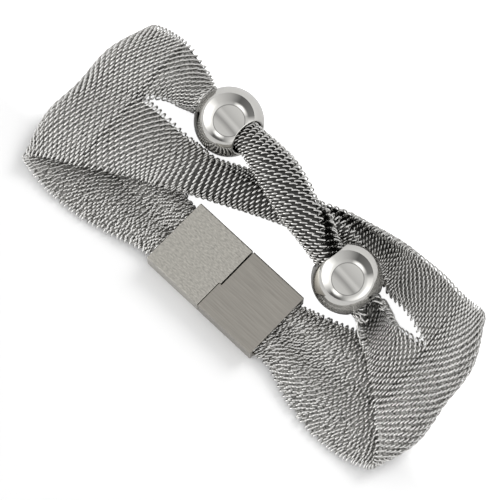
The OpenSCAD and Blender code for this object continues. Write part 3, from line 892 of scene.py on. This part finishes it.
def place_lamps(scene, key):
    """Square lamps that face the frame's origin. The metal doesn't mirror them."""
    for name, (spot, size, share) in LAMPS.items():
        lamp = bpy.data.lights.new(name, "AREA")
        lamp.energy, lamp.size = key * share, size
        lamp_object = bpy.data.objects.new(name, lamp)
        turn = Vector(spot).normalized().to_track_quat("Z", "Y").to_matrix().to_4x4()
        lamp_object.matrix_world = Matrix.Translation(spot) @ turn
        lamp_object.visible_glossy = False
        scene.collection.objects.link(lamp_object)


# Where the photograph's frame lies: the point at its middle, and its right and back directions
VIEW_POINT = (-1.25, 8.1, 0.0)
VIEW_RIGHT = (0.7242, 0.6896, 0.0)
VIEW_BACK = (0.17848, -0.18743, 0.96593)
VIEW_DISTANCE = 400.0
FRAME_WIDTH = 95.24
LIFT = 4.0


def place_camera(scene):
    """Long-lens camera at the photograph's angle. Its lens gives the frame's width at the height
    LIFT over the floor: lens = film width times distance over frame width."""
    lens = bpy.data.cameras.new("camera")
    right, back = Vector(VIEW_RIGHT).normalized(), Vector(VIEW_BACK).normalized()
    up = back.cross(right)
    lens.lens = lens.sensor_width * (VIEW_DISTANCE - LIFT) / FRAME_WIDTH
    lens.clip_start, lens.clip_end = 0.01, 20
    camera = bpy.data.objects.new("camera", lens)
    turn = Matrix((right, up, back)).transposed().to_4x4()
    camera.matrix_world = Matrix.Translation((Vector(VIEW_POINT) + back * VIEW_DISTANCE) * MM) @ turn
    scene.collection.objects.link(camera)
    scene.camera = camera


# The light tent. Brightness round its wall, by azimuth from the right in degrees, for the part of the
# wall near the ceiling and the part near the floor, brightness of the ceiling across its streaks, and
# brightness of the seam between ceiling and wall
WALL_HIGH = ((-180, 0.55), (-150, 0.35), (-132, 0.9), (-105, 0.20), (-85, 0.30), (-20, 0.36), (15, 0.25),
             (48, 0.9), (75, 0.22), (105, 0.28), (150, 0.5), (180, 0.55))
WALL_LOW = ((-180, 0.9), (-160, 0.4), (-138, 0.06), (-112, 0.06), (-98, 0.20), (-85, 0.38), (-40, 0.75),
            (0, 0.40), (14, 0.10), (62, 0.06), (85, 0.20), (120, 0.32), (155, 0.9), (180, 0.9))
CEILING = ((-0.85, 0.31), (-0.50, 0.29), (-0.24, 0.17), (-0.06, 0.29), (0.05, 0.32), (0.20, 0.25),
           (0.50, 0.29), (0.85, 0.32))
SEAM = 0.1
# Azimuth across the streaks, and the angles from the tent's top over which the ceiling changes to the
# seam, the seam to the wall, and the wall's upper part to its lower one, all in degrees
STREAK = 42
CEILING_FADE, SEAM_FADE, WALL_FADE = (51, 53), (53, 56), (59, 71)


def value_ramp(tree, value, places, low, high):
    """Ramp of grey values at places between two bounds, read by a value in the same units."""
    ramp = tree.nodes.new("ShaderNodeValToRGB")
    points = ramp.color_ramp.elements
    while len(points) < len(places):
        points.new(0.5)
    for point, (place, _) in zip(points, places):
        point.position = (place - low) / (high - low)
    for point, (_, grey) in zip(points, places):
        point.color = (grey, grey, grey, 1)
    link(tree, (ranged(tree, value, (low, high), smooth=False), ramp.inputs["Fac"]))
    return ramp.outputs["Color"]


def set_tent(scene, strength):
    """White light tent round the table. Its brightness follows the angle from the tent's top opening
    and the azimuth round it: a ceiling, a seam, and a wall with white panels and dark gaps."""
    world = bpy.data.worlds.new("light_tent")
    scene.world = world
    world.use_nodes = True
    tree = world.node_tree
    background = tree.nodes["Background"]
    coords = tree.nodes.new("ShaderNodeTexCoord").outputs["Generated"]
    back, right = Vector(VIEW_BACK).normalized(), Vector(VIEW_RIGHT).normalized()

    def along(axis):
        dot = tree.nodes.new("ShaderNodeVectorMath")
        dot.operation = "DOT_PRODUCT"
        dot.inputs[1].default_value = axis
        link(tree, (coords, dot.inputs[0]))
        return dot.outputs["Value"]

    def worked(operation, *values):
        node = tree.nodes.new("ShaderNodeMath")
        node.operation = operation
        for place, value in enumerate(values):
            if isinstance(value, float):
                node.inputs[place].default_value = value
            else:
                link(tree, (value, node.inputs[place]))
        return node.outputs[0]

    degree = 180 / np.pi
    angle = worked("MULTIPLY", worked("ARCCOSINE", along(back)), degree)
    azimuth = worked("MULTIPLY", worked("ARCTAN2", along(back.cross(right)), along(right)), degree)
    turn = np.radians(STREAK)
    streaks = along(right * np.cos(turn) + back.cross(right) * np.sin(turn))
    ceiling = value_ramp(tree, streaks, CEILING, CEILING[0][0], CEILING[-1][0])
    high = value_ramp(tree, azimuth, WALL_HIGH, -180, 180)
    low = value_ramp(tree, azimuth, WALL_LOW, -180, 180)
    wall = mixed(tree, high, low, ranged(tree, angle, WALL_FADE))
    edged = mixed(tree, ceiling, (SEAM, SEAM, SEAM, 1), ranged(tree, angle, CEILING_FADE))
    whole = mixed(tree, edged, wall, ranged(tree, angle, SEAM_FADE))
    link(tree, (whole, background.inputs["Color"]))
    put(background, {"Strength": strength})


class BRACELET_PT_panel(bpy.types.Panel):
    """The bracelet's pieces and their settings"""

    bl_idname = "BRACELET_PT_panel"
    bl_label = "Bracelet"
    bl_space_type = "VIEW_3D"
    bl_region_type = "UI"
    bl_category = "Bracelet"

    def draw(self, context):
        for name, operator in PARTS.items():
            box = self.layout.box()
            group = getattr(context.scene, name)
            for key in group.__annotations__:
                box.prop(group, key)
            box.operator(operator.bl_idname)


GROUPS = {"bracelet_mesh": BRACELET_PG_mesh, "bracelet_balls": BRACELET_PG_balls,
          "bracelet_clasp": BRACELET_PG_clasp, "bracelet_stage": BRACELET_PG_stage}
PARTS = {"bracelet_mesh": BRACELET_OT_mesh, "bracelet_balls": BRACELET_OT_balls,
         "bracelet_clasp": BRACELET_OT_clasp, "bracelet_stage": BRACELET_OT_stage}


def register():
    for kind in (*GROUPS.values(), *PARTS.values(), BRACELET_PT_panel):
        bpy.utils.register_class(kind)
    for name, kind in GROUPS.items():
        setattr(bpy.types.Scene, name, bpy.props.PointerProperty(type=kind))


def unregister():
    for name in GROUPS:
        delattr(bpy.types.Scene, name)
    for kind in (BRACELET_PT_panel, *PARTS.values(), *GROUPS.values()):
        bpy.utils.unregister_class(kind)


def main():
    """Run the operators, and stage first."""
    register()
    bpy.ops.bracelet.stage()
    bpy.ops.bracelet.clasp()
    bpy.ops.bracelet.balls()
    bpy.ops.bracelet.mesh()


if __name__ == "__main__":
    main()
